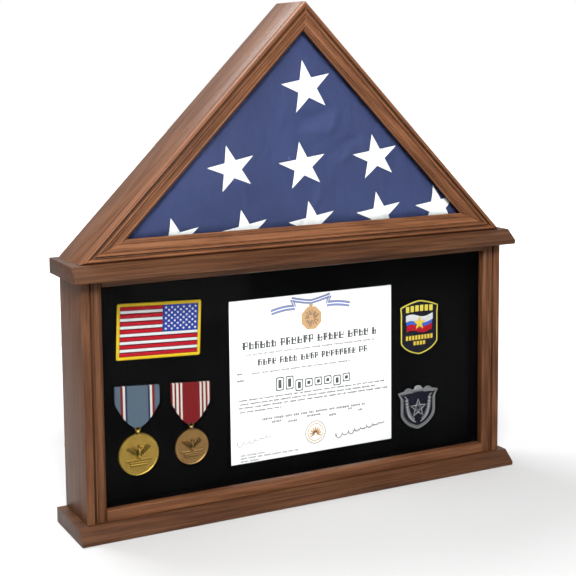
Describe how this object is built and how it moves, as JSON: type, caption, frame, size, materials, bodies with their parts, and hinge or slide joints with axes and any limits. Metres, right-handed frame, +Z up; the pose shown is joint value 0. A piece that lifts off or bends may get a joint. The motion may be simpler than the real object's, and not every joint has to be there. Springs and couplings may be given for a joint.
{
  "type": "folded flag display case",
  "caption": "Free-standing wooden display case: a glazed triangular case with a folded flag on top of a glazed, felt-lined shadow box with keepsakes, both opening at the back.",
  "frame": {"origin": "middle of the underside of the base board", "axes": "+X to the right seen from the front, +Y from the glazed front to the back, +Z up"},
  "size_m": [0.666, 0.1104, 0.6801],
  "materials": {
    "walnut_wood": "walnut-brown stained hardwood, satin lacquer",
    "back_panel_ply": "dark-stained thin plywood",
    "glazing": "clear flat picture glass",
    "black_felt": "black felt",
    "pin_board_foam": "dense foam board",
    "flag_cloth": "navy woven flag cloth with white sewn stars",
    "certificate_paper": "uncoated white paper",
    "patch_embroidery": "satin-stitch embroidery with a corded edge",
    "silver_thread": "silver-grey embroidery on black cloth",
    "medal_ribbon": "ribbed silk ribbon",
    "medal_gold": "antique gold plate, struck relief",
    "medal_bronze": "antique bronze, struck relief",
    "brass_hardware": "yellow brass screws and turn buttons"
  },
  "bodies": {
    "case": {"base_board": "walnut_wood", "cornice_board": "walnut_wood", "side_board_left": "walnut_wood", "side_board_right": "walnut_wood", "stile_left": "walnut_wood", "stile_right": "walnut_wood", "bottom_rail": "walnut_wood", "top_rail": "walnut_wood", "flag_case_floor": "walnut_wood", "slope_board_left": "walnut_wood", "slope_board_right": "walnut_wood", "face_moulding_bottom": "walnut_wood", "face_moulding_left": "walnut_wood", "face_moulding_right": "walnut_wood", "glass_stop_bottom": "walnut_wood", "glass_stop_left": "walnut_wood", "glass_stop_right": "walnut_wood", "glass_lower": "glazing", "glass_upper": "glazing", "liner_left": "black_felt", "liner_right": "black_felt", "liner_top": "black_felt", "liner_bottom": "black_felt", "folded_flag": "flag_cloth", "base_screw_back_left": "brass_hardware", "base_screw_front_left": "brass_hardware", "base_screw_back_right": "brass_hardware", "base_screw_front_right": "brass_hardware", "cornice_screw_left": "brass_hardware", "cornice_screw_right": "brass_hardware", "button_screw_low_left": "brass_hardware", "button_screw_high_left": "brass_hardware", "button_screw_low_right": "brass_hardware", "button_screw_high_right": "brass_hardware", "button_screw_slope_left": "brass_hardware", "button_screw_slope_right": "brass_hardware", "button_screw_floor": "brass_hardware"},
    "lower_back": {"back_panel_lower": "back_panel_ply", "pin_board": "pin_board_foam", "felt_cover": "black_felt", "certificate": "certificate_paper", "flag_patch": "patch_embroidery", "shield_patch": "patch_embroidery", "silver_badge": "silver_thread", "medal_left_ribbon": "medal_ribbon", "medal_left_ring": "medal_gold", "medal_right_ribbon": "medal_ribbon", "medal_right_ring": "medal_bronze"},
    "upper_back": {"back_panel_upper": "back_panel_ply"},
    "medal_left": {"medal_left_disc": "medal_gold"},
    "medal_right": {"medal_right_disc": "medal_bronze"},
    "button_low_left": {"turn_button_low_left": "brass_hardware"},
    "button_high_left": {"turn_button_high_left": "brass_hardware"},
    "button_low_right": {"turn_button_low_right": "brass_hardware"},
    "button_high_right": {"turn_button_high_right": "brass_hardware"},
    "button_slope_left": {"turn_button_slope_left": "brass_hardware"},
    "button_slope_right": {"turn_button_slope_right": "brass_hardware"},
    "button_floor": {"turn_button_floor": "brass_hardware"}
  },
  "joints": [
    {"name": "lower_back_slide", "type": "slide", "parent": "case", "child": "lower_back", "axis": [0, 1, 0], "range_m": [0, 0.06]},
    {"name": "upper_back_slide", "type": "slide", "parent": "case", "child": "upper_back", "axis": [0, 1, 0], "range_m": [0, 0.04]},
    {"name": "medal_left_swing", "type": "hinge", "parent": "lower_back", "child": "medal_left", "pos_m": [-0.2273, 0.0235, 0.1186], "axis": [0, 1, 0], "range_deg": [-20, 20]},
    {"name": "medal_right_swing", "type": "hinge", "parent": "lower_back", "child": "medal_right", "pos_m": [-0.151, 0.0235, 0.1136], "axis": [0, 1, 0], "range_deg": [-20, 20]},
    {"name": "button_low_left_turn", "type": "hinge", "parent": "case", "child": "button_low_left", "pos_m": [-0.315, 0.053, 0.1], "axis": [0, 1, 0], "range_deg": [0, 90]},
    {"name": "button_high_left_turn", "type": "hinge", "parent": "case", "child": "button_high_left", "pos_m": [-0.315, 0.053, 0.235], "axis": [0, 1, 0], "range_deg": [0, 90]},
    {"name": "button_low_right_turn", "type": "hinge", "parent": "case", "child": "button_low_right", "pos_m": [0.315, 0.053, 0.1], "axis": [0, 1, 0], "range_deg": [-90, 0]},
    {"name": "button_high_right_turn", "type": "hinge", "parent": "case", "child": "button_high_right", "pos_m": [0.315, 0.053, 0.235], "axis": [0, 1, 0], "range_deg": [-90, 0]},
    {"name": "button_slope_left_turn", "type": "hinge", "parent": "case", "child": "button_slope_left", "pos_m": [-0.1786, 0.053, 0.49064], "axis": [0, 1, 0], "range_deg": [0, 90]},
    {"name": "button_slope_right_turn", "type": "hinge", "parent": "case", "child": "button_slope_right", "pos_m": [0.1786, 0.053, 0.49064], "axis": [0, 1, 0], "range_deg": [-90, 0]},
    {"name": "button_floor_turn", "type": "hinge", "parent": "case", "child": "button_floor", "pos_m": [0, 0.053, 0.3583], "axis": [0, 1, 0], "range_deg": [-90, 0]}
  ]
}
